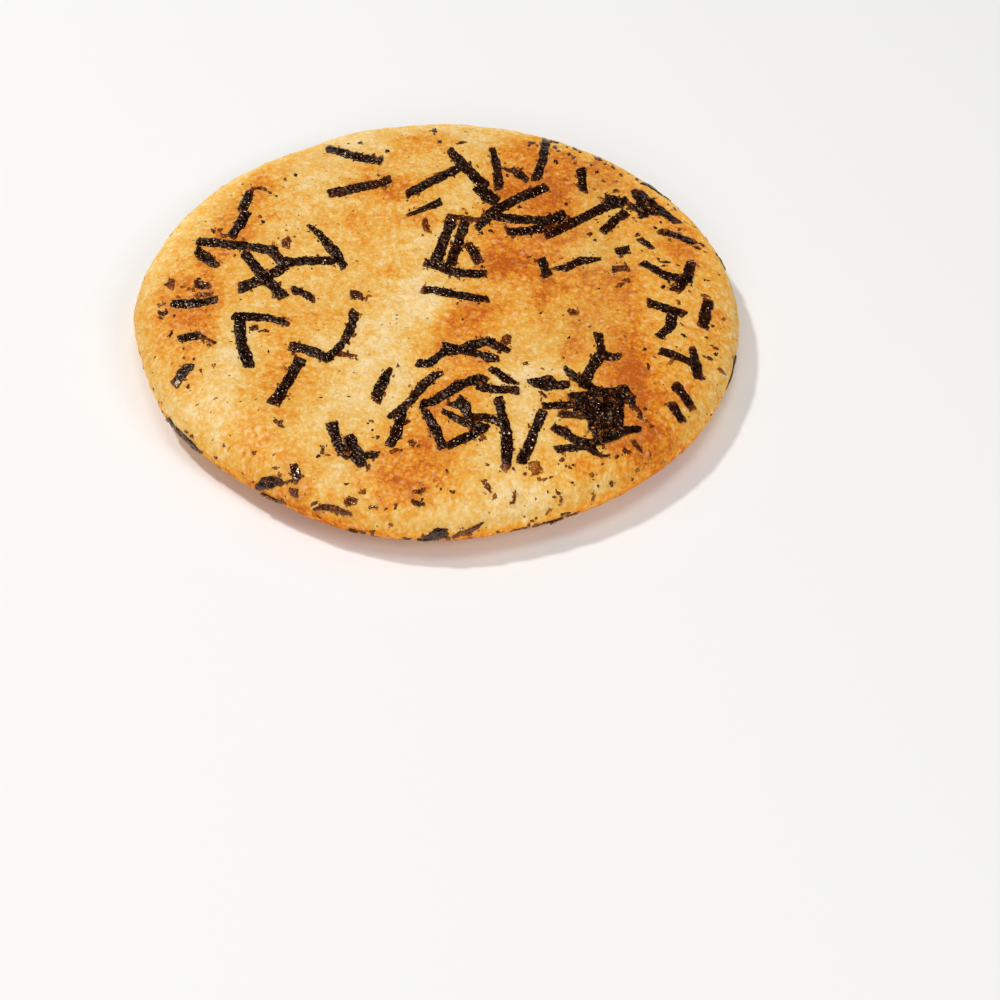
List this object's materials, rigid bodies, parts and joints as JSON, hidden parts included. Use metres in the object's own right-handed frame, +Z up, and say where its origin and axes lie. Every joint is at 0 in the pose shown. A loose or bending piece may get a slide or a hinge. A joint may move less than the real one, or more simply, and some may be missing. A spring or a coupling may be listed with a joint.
{
  "type": "nori rice cracker",
  "caption": "Round puffed rice cracker with a soft rounded rim, toasted patches and shredded nori baked onto its face.",
  "frame": {"origin": "centre of the footprint, on the surface that the cracker lies on", "axes": "+Z up, out of the face with the nori; -Y towards the viewer of the shown side; +X to the viewer's right"},
  "size_m": [0.0886, 0.0894, 0.0094],
  "materials": {
    "cracker": "baked puffed rice crumb, pale gold with orange toasted patches, grainy, matt with a faint oily sheen"
  },
  "bodies": {
    "root": {"cracker": "cracker"}
  },
  "joints": []
}
